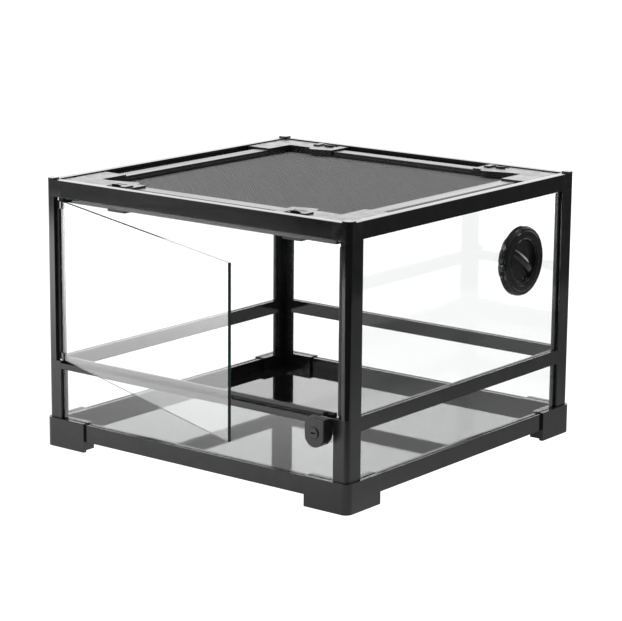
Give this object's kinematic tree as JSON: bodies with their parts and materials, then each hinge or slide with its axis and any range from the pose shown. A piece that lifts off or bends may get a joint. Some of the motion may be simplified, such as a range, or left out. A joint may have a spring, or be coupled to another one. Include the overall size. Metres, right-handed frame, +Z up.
{
  "type": "reptile terrarium",
  "caption": "Square front-opening glass terrarium in a black post-and-rail frame, with a hinged glass door and lock, a latched screen lid, a round shutter vent and corner feet.",
  "frame": {"origin": "middle of the tank's square plan, on the plane that the feet stand on", "axes": "+Z up; the door faces -Y and +X is to the right of someone facing the door; +Y runs from the door to the back"},
  "size_m": [0.624, 0.8173, 0.4425],
  "materials": {
    "frame_black": "glossy",
    "lid_black": "semi-gloss",
    "latch_black": "satin",
    "vent_black": "semi-gloss",
    "strip_black": "satin",
    "lock_core": "satin",
    "clear_glass": "clear float glass with polished edges",
    "floor_black": "mirror gloss",
    "screen_mesh": "woven, dark coated",
    "steel": "satin"
  },
  "bodies": {
    "tank": {"foot_front_left": "frame_black", "foot_front_right": "frame_black", "foot_back_left": "frame_black", "foot_back_right": "frame_black", "base_rail_front": "frame_black", "base_rail_right": "frame_black", "base_rail_back": "frame_black", "base_rail_left": "frame_black", "floor_panel": "floor_black", "lower_post_front_left": "frame_black", "lower_post_front_right": "frame_black", "lower_post_back_left": "frame_black", "lower_post_back_right": "frame_black", "lower_glass_front": "clear_glass", "lower_glass_right": "clear_glass", "lower_glass_back": "clear_glass", "lower_glass_left": "clear_glass", "sill_rail": "frame_black", "mid_rail_right": "frame_black", "mid_rail_back": "frame_black", "mid_rail_left": "frame_black", "upper_post_front_left": "frame_black", "upper_post_front_right": "frame_black", "upper_post_back_left": "frame_black", "upper_post_back_right": "frame_black", "upper_glass_right": "clear_glass", "upper_glass_back": "clear_glass", "upper_glass_left": "clear_glass", "rim_front": "frame_black", "rim_right": "frame_black", "rim_back": "frame_black", "rim_left": "frame_black", "rim_cap_front_left": "frame_black", "rim_cap_front_right": "frame_black", "rim_cap_back_left": "frame_black", "rim_cap_back_right": "frame_black", "pivot_pins": "steel", "pivot_plugs": "steel", "vent_flange": "vent_black", "vent_nut": "vent_black", "lock_body": "frame_black"},
    "door": {"door_glass": "clear_glass", "hinge_strip": "strip_black", "hinge_clips": "frame_black"},
    "lid": {"lid_rail_front": "lid_black", "lid_rail_right": "lid_black", "lid_rail_back": "lid_black", "lid_rail_left": "lid_black", "lid_corner_front_left": "lid_black", "lid_corner_front_right": "lid_black", "lid_corner_back_left": "lid_black", "lid_corner_back_right": "lid_black", "screen": "screen_mesh"},
    "lid_latch_front_left": {"lid_latch_front_left": "latch_black"},
    "lid_latch_front_right": {"lid_latch_front_right": "latch_black"},
    "lid_latch_back_left": {"lid_latch_back_left": "latch_black"},
    "lid_latch_back_right": {"lid_latch_back_right": "latch_black"},
    "vent_knob": {"vent_knob": "vent_black"},
    "lock_cylinder": {"lock_cylinder": "lock_core"},
    "lock_bolt": {"lock_bolt": "steel"}
  },
  "joints": [
    {"name": "door_hinge", "type": "hinge", "parent": "tank", "child": "door", "pos_m": [-0.2815, -0.298, 0.147], "axis": [0, 0, -1], "range_deg": [-21.5, 83.5]},
    {"name": "lid_lift", "type": "slide", "parent": "tank", "child": "lid", "axis": [0, 0, 1], "range_m": [0, 0.15]},
    {"name": "lid_latch_front_left_slide", "type": "slide", "parent": "lid", "child": "lid_latch_front_left", "axis": [0, -1, 0], "range_m": [0, 0.007]},
    {"name": "lid_latch_front_right_slide", "type": "slide", "parent": "lid", "child": "lid_latch_front_right", "axis": [0, -1, 0], "range_m": [0, 0.007]},
    {"name": "lid_latch_back_left_slide", "type": "slide", "parent": "lid", "child": "lid_latch_back_left", "axis": [0, 1, 0], "range_m": [0, 0.007]},
    {"name": "lid_latch_back_right_slide", "type": "slide", "parent": "lid", "child": "lid_latch_back_right", "axis": [0, 1, 0], "range_m": [0, 0.007]},
    {"name": "vent_turn", "type": "hinge", "parent": "tank", "child": "vent_knob", "pos_m": [0.301, 0.15, 0.316], "axis": [1, 0, 0], "range_deg": [0, 90]},
    {"name": "lock_turn", "type": "hinge", "parent": "tank", "child": "lock_cylinder", "pos_m": [0.259, -0.305, 0.124], "axis": [0, -1, 0], "range_deg": [0, 90]},
    {"name": "lock_bolt_slide", "type": "slide", "parent": "tank", "child": "lock_bolt", "axis": [0, 0, 1], "range_m": [0, 0.008]}
  ],
  "couplings": [
    {"joint": "lock_bolt_slide", "follows": "lock_turn", "m_per_rad": 0.005093}
  ]
}
